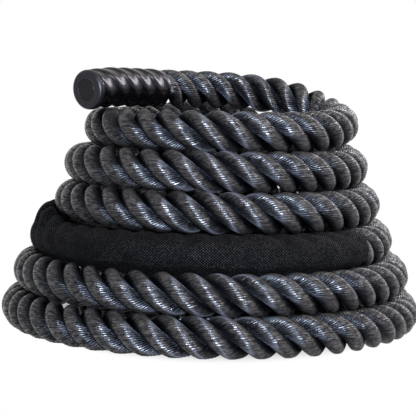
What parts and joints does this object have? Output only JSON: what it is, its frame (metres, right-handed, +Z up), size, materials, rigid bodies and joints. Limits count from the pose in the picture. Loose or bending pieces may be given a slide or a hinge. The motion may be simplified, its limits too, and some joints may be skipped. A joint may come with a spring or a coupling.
{
  "type": "battle rope",
  "caption": "Thick three-strand exercise rope coiled in a tapering stack, with ridged rubber grips, end caps and a woven sleeve round its middle.",
  "frame": {"origin": "on the floor, under the middle of the coiled stack's bounding box", "axes": "+Z up, -Y towards the side the free handle end points to, +X to the right seen from there"},
  "size_m": [0.5667, 0.552, 0.3461],
  "materials": {
    "rope_fibre": "satin",
    "sleeve_weave": "matte",
    "grip_rubber": "satin",
    "cap_rubber": "satin",
    "disc_plastic": "matte",
    "whipping_tape": "matte"
  },
  "bodies": {
    "stack": {"rope_coil": "rope_fibre", "sleeve": "sleeve_weave", "sleeve_lap": "sleeve_weave", "grip_tail": "grip_rubber", "end_cap_tail": "cap_rubber", "cap_disc_tail": "disc_plastic", "whipping_tail": "whipping_tape"},
    "free_end": {"rope_free_end": "rope_fibre", "grip_top": "grip_rubber", "end_cap_top": "cap_rubber", "cap_disc_top": "disc_plastic", "whipping_top": "whipping_tape"}
  },
  "joints": [
    {"name": "free_end_lift", "type": "hinge", "parent": "stack", "child": "free_end", "pos_m": [-0.06866, 0.04185, 0.34495], "axis": [-0.755, 0.6557, 0], "range_deg": [0, 40]}
  ]
}
